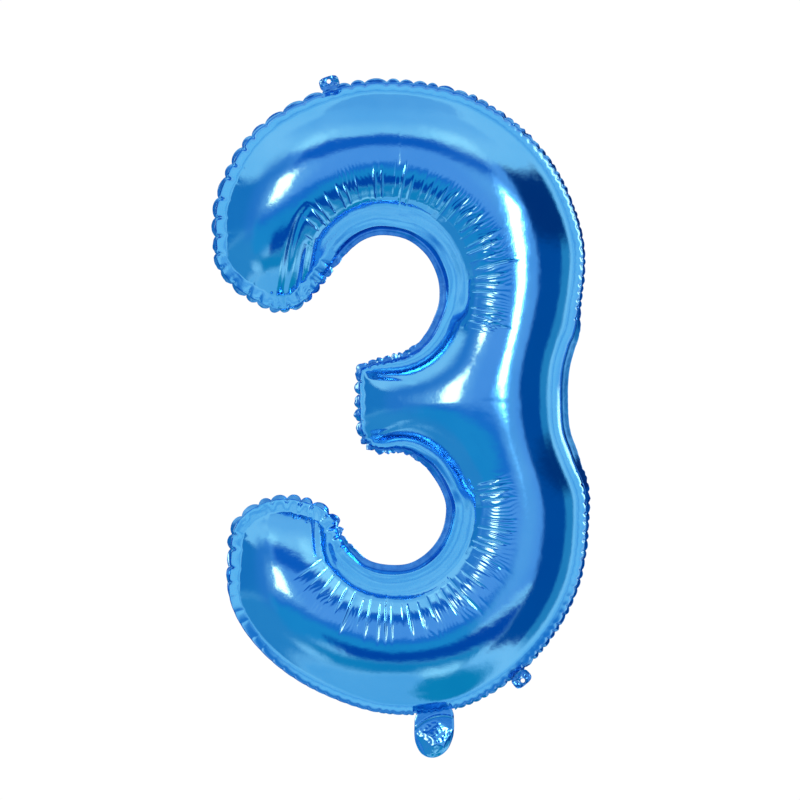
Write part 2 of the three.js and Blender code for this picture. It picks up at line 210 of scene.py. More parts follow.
UPPER_TAB = tab_frame(UPPER_BOWL, UPPER_TAB_ANGLE, 0)
LOWER_TAB = tab_frame(LOWER_BOWL, LOWER_TAB_ANGLE, LOWER_FIRST)
TAIL_STATION = station_at(LOWER_BOWL, TAIL_ANGLE, LOWER_FIRST)
ORIGIN = UPPER_TAB[0] + UPPER_TAB[2] * TAB_HOLE_OUT  # the upper tab's hole, in the digit's frame


def to_row(points, y):
    """Row-frame places from the digit's flat points and their depths."""
    return np.stack([points[..., 0] - ORIGIN[0], np.broadcast_to(y, points.shape[:-1]),
                     points[..., 1] - ORIGIN[1]], -1)


# ---- steps, noise and meshes ----

NOISE_CELLS = 256  # after which the noise repeats


def eased(t):
    """0 to 1 with a slow start and a slow end."""
    return (1 - np.cos(np.pi * t)) / 2


def smoothstep(low, high, x):
    t = np.clip((x - low) / (high - low), 0, 1)
    return t * t * (3 - 2 * t)


def window(stretch, x):
    """1 inside a stretch and 0 outside it: it rises over the first pair and falls over the second."""
    rise, fall = stretch
    return smoothstep(*rise, x) * (1 - smoothstep(*fall, x))


def bell(x, width):
    return np.exp(-((x / width) ** 2))


def noise(seed, x, y=0.0):
    """Smooth random values from -1 to 1 over unit cells."""
    table = np.random.default_rng(seed).uniform(-1, 1, (NOISE_CELLS + 1, NOISE_CELLS + 1))
    x, y = np.broadcast_arrays(np.asarray(x, float), np.asarray(y, float))
    i, j = np.floor(x).astype(int), np.floor(y).astype(int)
    u, v = x - i, y - j
    u, v = u * u * (3 - 2 * u), v * v * (3 - 2 * v)
    i, j = i % NOISE_CELLS, j % NOISE_CELLS
    low = table[i, j] * (1 - u) + table[i + 1, j] * u
    high = table[i, j + 1] * (1 - u) + table[i + 1, j + 1] * u
    return low * (1 - v) + high * v


def crumple(seed, x, y, cell, folds=6):
    """Flat facets with sharp folds between them, from 0 to 1: straight folds in several directions."""
    rng = np.random.default_rng(seed)
    total = np.zeros(np.broadcast(x, y).shape)
    weight = 0.0
    bend_x = x + 0.3 * cell * noise(seed + 1, x / cell, y / cell)
    bend_y = y + 0.3 * cell * noise(seed + 2, x / cell, y / cell)
    for k in range(folds):
        a = np.pi * (k + rng.uniform(0, 1)) / folds
        size = cell * rng.uniform(0.7, 1.6)
        phase = (bend_x * np.cos(a) + bend_y * np.sin(a)) / size + rng.uniform(0, 1)
        share = rng.uniform(0.5, 1.0)
        total += share * np.abs(2 * (phase - np.floor(phase)) - 1)
        weight += share
    return total / weight


def crinkle(seed, x, y, height, cell, folds=6):
    """The same facets in metres, as much above the sheet as below it."""
    return height * (crumple(seed, x, y, cell, folds) - 0.5)


def distance_walked(line):
    return np.r_[0, np.cumsum(np.linalg.norm(np.diff(line, axis=0), axis=1))]


def search_tree(flat):
    """A tree that finds the nearest of these flat points."""
    tree = kdtree.KDTree(len(flat))
    for k, (x, z) in enumerate(flat):
        tree.insert((x, z, 0), k)
    tree.balance()
    return tree


def put_in_scene(thing):
    bpy.context.scene.collection.objects.link(thing)


def new_object(name, points, quads, material, body=None):
    """A smooth mesh object of quads. Without a body it's for a piece that blends between two."""
    mesh = bpy.data.meshes.new(name)
    quads = np.asarray(quads, np.int32)
    mesh.vertices.add(len(points))
    mesh.vertices.foreach_set("co", np.asarray(points, np.float32).ravel())
    mesh.loops.add(quads.size)
    mesh.loops.foreach_set("vertex_index", quads.ravel())
    mesh.polygons.add(len(quads))
    mesh.polygons.foreach_set("loop_start", np.arange(0, quads.size, 4, dtype=np.int32))
    mesh.polygons.foreach_set("use_smooth", np.ones(len(quads), bool))
    mesh.update(calc_edges=True)
    mesh.validate()
    mesh.materials.append(material)
    piece = bpy.data.objects.new(name, mesh)
    put_in_scene(piece)
    if body:
        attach(piece, body)
    return piece


def grid_quads(index):
    return np.stack([index[:-1, :-1], index[1:, :-1], index[1:, 1:], index[:-1, 1:]],
                    -1).reshape(-1, 4)


def tube_index(shape):
    """Point numbers of a grid whose last column is joined to its first."""
    index = np.arange(shape[0] * shape[1]).reshape(shape)
    return np.concatenate([index, index[:, :1]], 1)


def vertex_normals(points, quads):
    normals = np.zeros_like(points)
    a, b, c, d = quads.T
    for corners in ((a, b, c), (a, c, d)):
        p, q, r = (points[k] for k in corners)
        face = np.cross(q - p, r - p)
        for k in corners:
            for axis in range(3):
                normals[:, axis] += np.bincount(k, face[:, axis], len(points))
    return normals / np.linalg.norm(normals, axis=1)[:, None]


# ---- the flat digit's fine mesh, and its inflation ----

PLEATED_TO, PLEATED_FROM = 9.4, 12.7  # the mesh is fine up to one station and from the other
FINE, COARSE = 58, 24  # mesh columns per station where it is pleated, and elsewhere
RING = 0.725  # share across, from the outer edge, of the crinkled ring round each bowl
ROW_EDGES, ROW_COUNTS = (0, 0.06, 0.44, RING, 1.0), (7, 22, 33, 15)
SPUR_ROWS, SPUR_COLUMNS = 44, 72
END_COLUMNS = np.cumsum(np.r_[0, 0.0025 * 1.16 ** np.arange(13)])  # closer next to the ends
SMALLEST_AREA = 1e-14
MOST_ROUNDS, CLOSE_ENOUGH = 1500, 1e-12  # of the conjugate gradients


def spaced(edges, counts):
    """Values from the first edge to the last, with that many equal steps in each stretch."""
    parts = [np.linspace(a, b, n + 1)[:-1] for a, b, n in zip(edges, edges[1:], counts)]
    return np.concatenate(parts + [[edges[-1]]])


def columns(edges, densities):
    """Stations from the first edge to the last, with each stretch's number of columns per station."""
    counts = [int(round((b - a) * n)) for a, b, n in zip(edges, edges[1:], densities)]
    return spaced(edges, counts)


def flat_digit():
    """Points, quads, and each point's station and share across (above 1 along the spur)."""
    across_root = eased(np.arange(SPUR_COLUMNS + 1) / SPUR_COLUMNS)
    root = ROOT_TOP + (ROOT_BOTTOM - ROOT_TOP) * across_root
    top = columns((END_COLUMNS[-1], PLEATED_TO, ROOT_TOP), (FINE, COARSE))[:-1]
    bottom = columns((ROOT_BOTTOM, PLEATED_FROM, LAST - END_COLUMNS[-1]), (COARSE, FINE))[1:]
    stations = np.concatenate([END_COLUMNS[:-1], top, root, bottom, LAST - END_COLUMNS[:-1][::-1]])
    s, v = np.meshgrid(stations, spaced(ROW_EDGES, ROW_COUNTS), indexing="ij")
    stroke = stroke_point(s, eased(v))
    index = np.arange(s.size).reshape(s.shape)
    toward_tip = np.sin(np.pi / 2 * np.arange(SPUR_ROWS + 1) / SPUR_ROWS)
    a, b = np.meshgrid(toward_tip, across_root, indexing="ij")
    spur = spur_point(a, b)[1:]
    spur_index = np.arange(a.size).reshape(a.shape) + s.size - len(across_root)
    first = len(END_COLUMNS) - 1 + len(top)
    spur_index[0] = index[first:first + len(across_root), -1]
    points = np.vstack([stroke.reshape(-1, 2), spur.reshape(-1, 2)])
    quads = np.vstack([grid_quads(index), grid_quads(spur_index.T)])
    station = np.r_[s.ravel(), (ROOT_TOP + (ROOT_BOTTOM - ROOT_TOP) * b[1:]).ravel()]
    across = np.r_[v.ravel(), (1 + a[1:]).ravel()]
    return points, quads, station, across


def rim_points(quads):
    """Numbers of the points on the mesh's edge, whose edges belong to one quad only."""
    edges = np.concatenate([quads[:, [k, (k + 1) % 4]] for k in range(4)]).astype(np.int64)
    big = edges.max() + 1
    shared = np.isin(edges[:, 0] * big + edges[:, 1], edges[:, 1] * big + edges[:, 0])
    return np.unique(edges[~shared])


def stiffness(points, quads):
    """The film's edges as pairs of points with their stiffness, and the load on each point."""
    a, b, c, d = quads.T
    tri = np.concatenate([np.stack([a, b, c], -1), np.stack([a, c, d], -1)])
    e1, e2 = points[tri[:, 1]] - points[tri[:, 0]], points[tri[:, 2]] - points[tri[:, 0]]
    twice = np.maximum(np.abs(e1[:, 0] * e2[:, 1] - e1[:, 1] * e2[:, 0]), SMALLEST_AREA)
    links = []
    for k in range(3):
        i, j, o = tri[:, k], tri[:, (k + 1) % 3], tri[:, (k + 2) % 3]
        dot = ((points[i] - points[o]) * (points[j] - points[o])).sum(1)
        links.append((i, j, dot / twice / 2))
    i, j, w = (np.concatenate([link[k] for link in links]) for k in range(3))
    load = np.bincount(tri.ravel(), np.repeat(twice / 3, 3), len(points))
    return i, j, w, load


def membrane(points, quads, rim, guess):
    """Sag of a membrane held at its rim under an even load, by conjugate gradients."""
    i, j, w, load = stiffness(points, quads)
    n = len(points)
    diagonal = np.bincount(i, w, n) + np.bincount(j, w, n)
    free = np.ones(n)
    free[rim] = 0

    def apply(u):
        return free * (diagonal * u - np.bincount(i, w * u[j], n) - np.bincount(j, w * u[i], n))

    u = guess * free
    left = free * load - apply(u)
    near = left / diagonal
    way = near.copy()
    product = left @ near
    for _ in range(MOST_ROUNDS):
        applied = apply(way)
        step = product / (way @ applied)
        u += step * way
        left -= step * applied
        if left @ left < CLOSE_ENOUGH * (load @ load):
            break
        near = left / diagonal
        new_product = left @ near
        way = near + (new_product / product) * way
        product = new_product
    return u


POINTS, QUADS, STATION, ACROSS = flat_digit()
RIM = rim_points(QUADS)
SHARE = np.where(ACROSS <= 1, eased(ACROSS), 0.5)
WIDTH = np.linalg.norm(outer(STATION) - inner(STATION), axis=1)
HEIGHT = np.sqrt(np.maximum(membrane(POINTS, QUADS, RIM, WIDTH**2 * SHARE * (1 - SHARE)), 0))
print("inflated", len(POINTS), "points to", round(float(HEIGHT.max()), 4))

# ---- the seam: where it is gathered, and how far the margin stands out ----

# Along each stretch of the seam: share of the stretch, pitch of the gathers, reach of the margin,
# puff of the petals between gathers, roughness of the crumpling and slope to the back.
SEAM = [
    (outer, TAIL_STATION, LAST, [
        (0.00, 0.009, 0.0024, 0.9, 0.4, 0.8), (0.25, 0.016, 0.0012, 0.6, 0.3, 0.4),
        (0.80, 0.022, 0.0010, 0.3, 0.2, 0.0), (0.90, 0.024, 0.0045, 0.8, 0.1, 0.0),
        (1.00, 0.024, 0.0058, 1.0, 0.0, 0.7)]),
    (lower_end, 0, 1, [(0, 0.024, 0.0062, 1.0, 0.0, 0.7), (1, 0.021, 0.0075, 1.0, 0.3, 0.7)]),
    (inner, LAST, ROOT_BOTTOM, [
        (0.00, 0.018, 0.0075, 0.9, 0.8, 0.0), (0.12, 0.012, 0.0070, 0.5, 1.0, 0.0),
        (0.20, 0.016, 0.0085, 0.1, 0.4, 0.0), (0.28, 0.030, 0.0090, 0.0, 0.0, 0.0),
        (1.00, 0.030, 0.0090, 0.0, 0.0, 0.0)]),
    (spur_bottom, 0, 1, [
        (0.0, 0.020, 0.0090, 0.0, 0.1, 0.0), (0.35, 0.010, 0.0080, 0.3, 1.0, 0.0),
        (1.0, 0.012, 0.0075, 0.8, 0.9, 0.0)]),
    (spur_tip, 1, 0, [(0, 0.024, 0.0075, 1.1, 0.6, 0.2), (1, 0.024, 0.0075, 1.1, 0.6, 0.2)]),
    (spur_top, 1, 0, [
        (0.0, 0.012, 0.0075, 0.8, 0.9, 0.0), (0.65, 0.010, 0.0080, 0.3, 1.0, 0.0),
        (1.0, 0.020, 0.0090, 0.0, 0.1, 0.0)]),
    (inner, ROOT_TOP, 0, [
        (0.00, 0.030, 0.0090, 0.0, 0.0, 0.0), (0.76, 0.030, 0.0090, 0.0, 0.0, 0.0),
        (0.84, 0.016, 0.0085, 0.1, 0.4, 0.0), (0.92, 0.012, 0.0070, 0.5, 1.0, 0.0),
        (1.00, 0.016, 0.0065, 0.8, 0.8, 0.0)]),
    (upper_end, 1, 0, [(0, 0.017, 0.0062, 0.9, 0.3, 0.7), (1, 0.024, 0.0050, 0.9, 0.6, 0.7)]),
    (outer, 0, TAIL_STATION, [
        (0.00, 0.022, 0.0055, 0.9, 0.8, 0.6), (0.03, 0.024, 0.0055, 1.0, 0.1, 0.6),
        (0.12, 0.026, 0.0056, 1.0, 0.0, 0.42), (0.22, 0.024, 0.0056, 1.0, 0.0, 0.27),
        (0.28, 0.018, 0.0058, 0.9, 0.3, 0.3), (0.32, 0.014, 0.0045, 0.7, 0.8, 0.4),
        (0.36, 0.013, 0.0034, 0.7, 0.5, 0.6), (0.44, 0.012, 0.0034, 0.7, 0.4, 0.7),
        (0.47, 0.020, 0.0080, 0.1, 0.1, 1.0), (0.50, 0.030, 0.0100, 0.0, 0.0, 1.3),
        (0.74, 0.030, 0.0100, 0.0, 0.1, 1.3), (0.78, 0.014, 0.0080, 0.3, 0.5, 0.7),
        (0.82, 0.013, 0.0040, 0.7, 0.5, 0.7), (0.93, 0.014, 0.0042, 0.8, 0.4, 0.7),
        (1.00, 0.010, 0.0024, 0.9, 0.4, 0.9)]),
]
SEAM_STEP = 0.0005
SEAM_SMOOTHING = 19  # steps over which the way out from the seam is smoothed
STRETCH_SAMPLES = 4000
GATHER_SPREAD = (0.72, 1.28)  # the gathers' distances, as shares of the pitch
PETAL_SIZES = (0.7, 1.2)
FRONT_PETALS = 0.72  # share of the petals that puff to the front


class Seam:
    """The outline followed once round from the tail, with its gathers."""

    def __init__(self, seed):
        walked, places, styles = self.follow()
        self.walk = np.linspace(0, walked[-1], int(walked[-1] / SEAM_STEP))
        self.at = np.stack([np.interp(self.walk, walked, places[:, k]) for k in range(2)], -1)
        self.out = self.ways_out()
        pitch, self.reach, self.puff, self.rough, self.lean = (
            np.interp(self.walk, walked, styles[:, k]) for k in range(5))
        self.gather(np.random.default_rng(seed), pitch)

    def follow(self):
        """Places close together on the outline, with the distance walked and the table's values."""
        share = np.linspace(0, 1, STRETCH_SAMPLES)[:-1]
        places, styles = [], []
        for path, start, stop, rows in SEAM:
            table = np.array(rows, float)
            places.append(path(start + (stop - start) * share))
            styles.append(np.stack([np.interp(share, table[:, 0], table[:, k])
                                    for k in range(1, 6)], -1))
        places, styles = np.concatenate(places), np.concatenate(styles)
        return distance_walked(places), places, styles

    def ways_out(self):
        """The way out from the outline at each step, smoothed over its corners."""
        kernel = np.hanning(SEAM_SMOOTHING) / np.hanning(SEAM_SMOOTHING).sum()
        step = np.pad(np.gradient(self.at, axis=0), ((SEAM_SMOOTHING // 2,) * 2, (0, 0)), mode="edge")
        step = np.stack([np.convolve(step[:, k], kernel, "valid") for k in range(2)], -1)
        along = step / np.linalg.norm(step, axis=1)[:, None]
        return np.stack([-along[:, 1], along[:, 0]], -1)

    def gather(self, rng, pitch):
        """Cusps about a pitch apart, and between each two a petal with its own size and side."""
        cusps, here = [0.0], 0.0
        while here < self.walk[-1]:
            here += np.interp(here, self.walk, pitch) * rng.uniform(*GATHER_SPREAD)
            cusps.append(here)
        cusps = np.array(cusps)
        petal = np.clip(np.searchsorted(cusps, self.walk, side="right") - 1, 0, len(cusps) - 2)
        low, high = cusps[petal], cusps[petal + 1]
        self.part = (self.walk - low) / (high - low)
        self.from_cusp = np.minimum(self.walk - low, high - self.walk)
        self.size = rng.uniform(*PETAL_SIZES, len(cusps))[petal]
        to_front = rng.uniform(0, 1, len(cusps)) < FRONT_PETALS
        self.side = np.where(to_front, -1.0, 1.0)[petal]

    def at_steps(self, keep):
        """The same seam with only the steps to keep."""
        line = copy.copy(self)
        for key, values in vars(self).items():
            setattr(line, key, values[keep])
        return line


SEAM_LINE = Seam(11)


def near_seam(points):
    """For each flat point, the nearest step of the seam and its distance."""
    tree = search_tree(SEAM_LINE.at)
    found = [tree.find((x, z, 0)) for x, z in points]
    return np.array([f[1] for f in found]), np.array([f[2] for f in found])


# ---- the film's tension and its wrinkles ----

# Stretches of the stroke, as pairs of stations over which each one comes in and goes out again.
TAUT_STRETCH = ((0.5, 1.6), (LAST - 1.6, LAST - 0.5))
BODY_STRETCH = ((1.6, 3.2), (LAST - 2.6, LAST - 1.2))
UPPER_PLEATS = ((0.9, 1.5), (8.7, 9.3))
LOWER_PLEATS = ((12.6, 13.2), (20.2, 20.9))
RIGHT_SIDE = ((4.8, 6.4), (16.5, 18.0))
STRIPED = ((0.8, 2.0), (20.0, 21.0))
WEAKLY_GATHERED = ((1.2, 2.4), (LAST - 2.4, LAST - 1.2))
# The same across the stroke, as shares from the outer edge.
RIPPLED_BAND = ((0.50, 0.55), (0.60, 0.68))
STRIPED_BAND = ((RING + 0.02, RING + 0.08), (0.95, 1.0))
OUTER_SIDE = (0.35, 0.5)
# Round the middle of the spur's root, in stations to each side, the taut band and the stripes fade.
ROOT_MIDDLE = (ROOT_TOP + ROOT_BOTTOM) / 2
TAUT_FROM_ROOT, STRIPED_FROM_ROOT = (1.1, 2.2), (1.2, 2.4)

RIM_BAND = 0.016  # width of the straight band inside the outer seam and round the stroke's ends
# How far the film next to the seam is straightened, its slight curve, and where that fades in.
TAUT_SHARE, TAUT_CURVE, TAUT_BLEND = 0.85, 0.9, 0.03
RIM_STEEPNESS, OUTER_RIM_SHARE = 0.4, 0.45


def taut_bands(height, distance):
    """Next to the seam the film is stretched straight instead of rounded, as far as a faint crease."""
    ring_row = np.abs(ACROSS - RING) < 1e-9
    ring_height = np.interp(STATION, STATION[ring_row], height[ring_row])
    straight = ring_height * np.maximum((1 - SHARE) / (1 - eased(RING)), 0) ** TAUT_CURVE
    ends = window(TAUT_STRETCH, STATION)
    root = smoothstep(*TAUT_FROM_ROOT, np.abs(STATION - ROOT_MIDDLE) - 1)
    inside = smoothstep(RING, RING + TAUT_BLEND, ACROSS) * (ACROSS <= 1)
    height = height + (straight - height) * TAUT_SHARE * ends * root * inside
    tips = 1 - window(BODY_STRETCH, STATION)
    outside = 1 - smoothstep(*OUTER_SIDE, ACROSS)
    strength = np.maximum(tips * (1 - ends * (1 - outside)), OUTER_RIM_SHARE * outside)
    return height * np.minimum(np.maximum(distance, 1e-6) / RIM_BAND, 1) ** (RIM_STEEPNESS * strength)


WALK_SHARE = 0.66  # share across of the line along which the pleats are spaced
CREST = 0.54  # share across of the stroke's crest, where the pleats run out
PLEAT_COUNT, PLEAT_LEAD = 260, 0.05  # how many creases, and how far before the line they begin
PLEAT_PITCH = (0.008, 0.019)
PLEAT_DEPTH = (0.0011, 0.0025)
FAINT_SHARE, FAINT_DEPTH = 0.25, 0.3  # this share of the pleats is only this deep
PLEAT_RING_GAP, PLEAT_CREST_SPREAD = (0.004, 0.05), (-0.045, 0.05)
PLEAT_END_LATER = 0.10  # near the upper end the pleats start this much nearer the ring
PLEAT_SLOPE, PLEAT_CORE, PLEAT_SLOPE_SHARE = 0.0030, 0.0011, 0.35
RIPPLE_LENGTH, RIPPLE_HEIGHT, RIPPLE_EXTRA = 0.0052, 0.00014, 0.6


def walk_along_stroke():
    """Distance walked along the stroke at each point's station."""
    s = np.linspace(0, LAST, 3000)
    line = mix(outer(s), inner(s), np.full_like(s, WALK_SHARE))
    return np.interp(STATION, s, distance_walked(line))


def pleat_envelope():
    return window(UPPER_PLEATS, STATION) + window(LOWER_PLEATS, STATION)


def crease(away, slope_share, slope, core):
    """A crease's depth from 1 at its line: a sharp slope and a round core."""
    return slope_share * np.exp(-away / slope) + (1 - slope_share) * bell(away, core)


def pleats(seed, walk):
    """Sharp radial creases on the inner half, from the ring to the crest."""
    rng = np.random.default_rng(seed)
    creases = np.cumsum(rng.uniform(*PLEAT_PITCH, PLEAT_COUNT)) - PLEAT_LEAD
    depth = rng.uniform(*PLEAT_DEPTH, PLEAT_COUNT)
    depth = depth * np.where(rng.uniform(0, 1, PLEAT_COUNT) < FAINT_SHARE, FAINT_DEPTH, 1.0)
    ring_end = RING - rng.uniform(*PLEAT_RING_GAP, PLEAT_COUNT)
    crest_end = CREST + rng.uniform(*PLEAT_CREST_SPREAD, PLEAT_COUNT)
    x = walk + 0.0012 * noise(seed + 1, walk / 0.03, ACROSS * 9)
    k = np.clip(np.searchsorted(creases, x), 1, PLEAT_COUNT - 1)
    height = np.zeros(len(x))
    for near in (k - 1, k):
        starts = crest_end[near] + PLEAT_END_LATER * (1 - smoothstep(2.2, 3.4, STATION))
        reach = ((1 - smoothstep(-0.02, 0.02, ACROSS - ring_end[near]))
                 * smoothstep(-0.03, 0.06, ACROSS - starts))
        away = np.abs(x - creases[near])
        height -= depth[near] * reach * crease(away, PLEAT_SLOPE_SHARE, PLEAT_SLOPE, PLEAT_CORE)
    return height * pleat_envelope()


def ripples(seed, walk):
    """Fine ripples between the pleats, higher in patches and on the digit's right."""
    patch = smoothstep(-0.35, 0.5, noise(seed + 2, walk / 0.022, ACROSS * 7))
    band = window(RIPPLED_BAND, ACROSS) * smoothstep(1.8, 3.2, STATION)
    phase = walk / RIPPLE_LENGTH + 1.3 * noise(seed + 3, walk / 0.02, ACROSS * 16)
    higher = (0.4 + 0.9 * patch) * (1 + RIPPLE_EXTRA * window(RIGHT_SIDE, STATION))
    return np.sin(2 * np.pi * phase) * RIPPLE_HEIGHT * higher * band * pleat_envelope()


# The ring's heights in metres, each with its half width in shares across.
GROOVE_DEPTH, GROOVE_WIDTH = 0.0005, 0.005
SWELL_HEIGHT, SWELL_WIDTH, SWELL_OUT = 0.0006, 0.014, 0.022
DENT_HEIGHT, DENT_WIDTH = 0.0002, 0.012
STRIPE_HEIGHT, STRIPE_RATE = 0.00026, 75  # the rate in radians per share across


def ring(seed, walk):
    """The crinkled line round each bowl where the pleats end."""
    wander = 0.008 * noise(seed, walk / 0.04) + 0.004 * noise(seed + 1, walk / 0.012)
    away = ACROSS - RING - wander
    kinks = 0.5 + 0.5 * noise(seed + 2, walk / 0.006)
    groove = -GROOVE_DEPTH * bell(away, GROOVE_WIDTH) * (0.1 + 0.9 * kinks)
    swell = SWELL_HEIGHT * bell(away + SWELL_OUT, SWELL_WIDTH)
    dents = DENT_HEIGHT * noise(seed + 3, walk / 0.009, ACROSS * 40) * bell(away, DENT_WIDTH)
    return (groove + swell + dents) * smoothstep(0.1, 0.5, pleat_envelope())


def stripes(seed, walk):
    """Low waves along the band between the ring and the inner seam."""
    wave = np.sin((ACROSS - RING) * STRIPE_RATE + 1.5 * noise(seed + 4, walk / 0.06))
    along = window(STRIPED, STATION) * smoothstep(*STRIPED_FROM_ROOT, np.abs(STATION - ROOT_MIDDLE))
    return STRIPE_HEIGHT * wave * window(STRIPED_BAND, ACROSS) * along


PUCKER_DEPTH, PUCKER_LENGTH, PUCKER_CORE = 0.0036, 0.0035, 0.0014
PUCKER_EXTRA_LENGTH, PUCKER_EXTRA_CORE = 0.0100, 0.0010  # added at the stroke's ends
PUCKER_SLOPE, PUCKER_SLOPE_SHARE = 0.0030, 0.3
PILLOW_HEIGHT, PILLOW_LENGTH = 0.0010, 0.010  # the film's swell between two puckers
CRUSHED_HEIGHT, CRUSHED_CELL, CRUSHED_LENGTH = 0.0012, 0.009, 0.0055


def gathers(step, distance):
    """Puckers that run in from the seam's gathers, longest at the stroke's ends and the spur's tip."""
    line = SEAM_LINE.at_steps(step)
    tips = 1 - window(WEAKLY_GATHERED, STATION)
    length = (PUCKER_LENGTH + PUCKER_EXTRA_LENGTH * tips) * line.size
    core = PUCKER_CORE + PUCKER_EXTRA_CORE * tips
    rim = 0.30 + 0.70 * smoothstep(0.0, 0.0015, distance)
    profile = crease(line.from_cusp, PUCKER_SLOPE_SHARE, PUCKER_SLOPE, core)
    pucker = -PUCKER_DEPTH * profile * rim * bell(distance, length)
    pillow = PILLOW_HEIGHT * np.sin(np.pi * line.part) * bell(distance, PILLOW_LENGTH)
    crushed = crinkle(71, *POINTS.T, CRUSHED_HEIGHT, CRUSHED_CELL) * bell(distance, CRUSHED_LENGTH)
    return (pucker + pillow) * np.minimum(line.puff, 1.0) + crushed * line.rough


# Long folds at the stroke's ends and round the spur: points as station and share across, then depth
# and width in metres.
FOLDS = [
    ([(1.9, 0.585), (1.45, 0.59), (0.75, 0.61), (0.12, 0.62)], 0.0026, 0.0068),
    ([(1.2, 0.69), (0.8, 0.70), (0.4, 0.71), (0.12, 0.71)], 0.0022, 0.0055),
    ([(0.04, 0.60), (0.40, 0.54)], 0.0014, 0.0018),
    ([(0.04, 0.74), (0.55, 0.74)], 0.0016, 0.0020),
    ([(21.98, 0.45), (21.6, 0.44)], 0.0014, 0.0016),
    ([(21.96, 0.58), (21.6, 0.58)], 0.0012, 0.0016),
    ([(21.9, 0.70), (21.4, 0.70), (20.8, 0.69)], 0.0026, 0.0042),
    ([(21.3, 0.80), (20.7, 0.78), (20.1, 0.74)], 0.0018, 0.0030),
    ([(10.30, 1.90), (10.42, 1.60), (10.60, 1.25)], 0.0006, 0.0040),
    ([(11.70, 1.88), (11.55, 1.60), (11.35, 1.25)], 0.0006, 0.0040),
]
FOLD_STEPS, FOLD_LEAD = 160, 6  # steps along a fold, and those beyond each end where it has died out
FOLD_REACH = 4  # how many widths from its line a fold still shows


def fold_line(line):
    """Places on the flat digit along a fold, whose shares above 1 lie on the spur."""
    station, share = curve(line)(np.linspace(0, 1, FOLD_STEPS)).T
    on_spur = spur_point(share - 1, (station - ROOT_TOP) / (ROOT_BOTTOM - ROOT_TOP))
    return np.where((share > 1)[:, None], on_spur, stroke_point(station, eased(share)))


def folds():
    """Heights of the long folds, each a valley between two low ridges."""
    height = np.zeros(len(POINTS))
    for line, depth, width in FOLDS:
        path = fold_line(line)
        tree = search_tree(path)
        reach = FOLD_REACH * width
        low, high = path.min(0) - reach, path.max(0) + reach
        for i in np.flatnonzero(((POINTS > low) & (POINTS < high)).all(1)):
            _, k, away = tree.find((*POINTS[i], 0))
            if away < reach:
                taper = np.sin(np.pi * (k + FOLD_LEAD) / (FOLD_STEPS + 2 * FOLD_LEAD)) ** 0.5
                ratio = (away / width) ** 2
                height[i] += depth * taper * (ratio - 1) * np.exp(-ratio)
    return height


SLOW_HEIGHT, SLOW_LENGTH, SLOW_FROM_SEAM = 0.00035, 0.05, 0.03


def foil_shell(name, side, seed, material):
    """One wrinkled foil shell. side is -1 for the front, which bulges towards -Y."""
    smooth = to_row(POINTS, side * (SEAM_HALF + HEIGHT))
    faces = QUADS if side < 0 else QUADS[:, ::-1]
    normals = vertex_normals(smooth, faces)
    if normals[:, 1].mean() * side < 0:
        faces = faces[:, ::-1]
        normals = -normals
    walk = walk_along_stroke()
    wrinkles = pleats(seed, walk) + ripples(seed, walk) + ring(seed + 20, walk)
    wrinkles = wrinkles + stripes(seed + 20, walk) + gathers(*NEAR_SEAM) + FOLD_HEIGHT
    slow = SLOW_HEIGHT * noise(seed + 40, *(POINTS / SLOW_LENGTH).T)
    slow = slow * smoothstep(0.0, SLOW_FROM_SEAM, NEAR_SEAM[1])
    points = smooth + normals * (wrinkles + slow)[:, None]
    points[RIM, 1] = side * SEAM_HALF
    return new_object(name, points, faces, material, "balloon")


# ---- the welded margin ----

MARGIN_ROWS = 9
PETAL_EDGE, PETAL_ROUNDNESS = 0.12, 0.6  # how far a petal stands out at its cusps, and its roundness
RAGGED, RAGGED_LENGTH = 0.22, 0.004
PETAL_SWELL, PINCH_HEIGHT, PINCH_LENGTH = 0.0012, 0.0004, 0.0030
MARGIN_FOLDS, MARGIN_CELL = 0.0020, 0.011
WAVE_HEIGHT, WAVE_LENGTH = 0.0008, 0.04
BEAD_HEIGHT, BEAD_AT, BEAD_WIDTH = 0.0004, 0.3, 0.1  # the weld's bead, in shares of the margin


def petal_reach(line):
    """How far the margin stands out at each step, in rounded petals between the gathers."""
    round_edge = PETAL_EDGE + (1 - PETAL_EDGE) * np.sin(np.pi * line.part) ** PETAL_ROUNDNESS
    ragged = 1 + RAGGED * line.rough * noise(81, line.walk / RAGGED_LENGTH)
    petal = np.minimum(line.puff, 1.0)
    return line.reach * (1 - petal + petal * round_edge * (0.75 + 0.35 * line.size)) * ragged


def margin_depth(line, flat, far, v):
    """How far back the margin's middle stands: puffed, pinched at the cusps, folded and leaning."""
    petal = np.minimum(line.puff, 1.0)
    puffed = line.side * line.puff * PETAL_SWELL * line.size * np.sin(np.pi * line.part)
    dome = np.sin(np.pi * v * 0.75)
    pinch = PINCH_HEIGHT * line.puff * np.exp(-line.from_cusp / PINCH_LENGTH)
    wave = WAVE_HEIGHT * noise(84, line.walk / WAVE_LENGTH) * (1 - petal)
    folded = line.rough[:, None] * crinkle(83, *np.moveaxis(flat, -1, 0), MARGIN_FOLDS, MARGIN_CELL, 4)
    lean = line.lean[:, None] * np.maximum(far, 0)
    return puffed[:, None] * dome + ((pinch + wave)[:, None] + folded) * v + lean


def end_caps(index):
    """Quads that close the margin's band at its two ends."""
    caps = []
    for k, cap in ((0, index[0, :-1]), (-1, index[-1, :-1])):
        front, back = cap[:MARGIN_ROWS + 1], cap[::-1][:MARGIN_ROWS + 1]
        pairs = np.stack([front[:-1], front[1:], back[1:], back[:-1]], -1)
        caps.append(pairs if k else pairs[:, ::-1])
    return caps


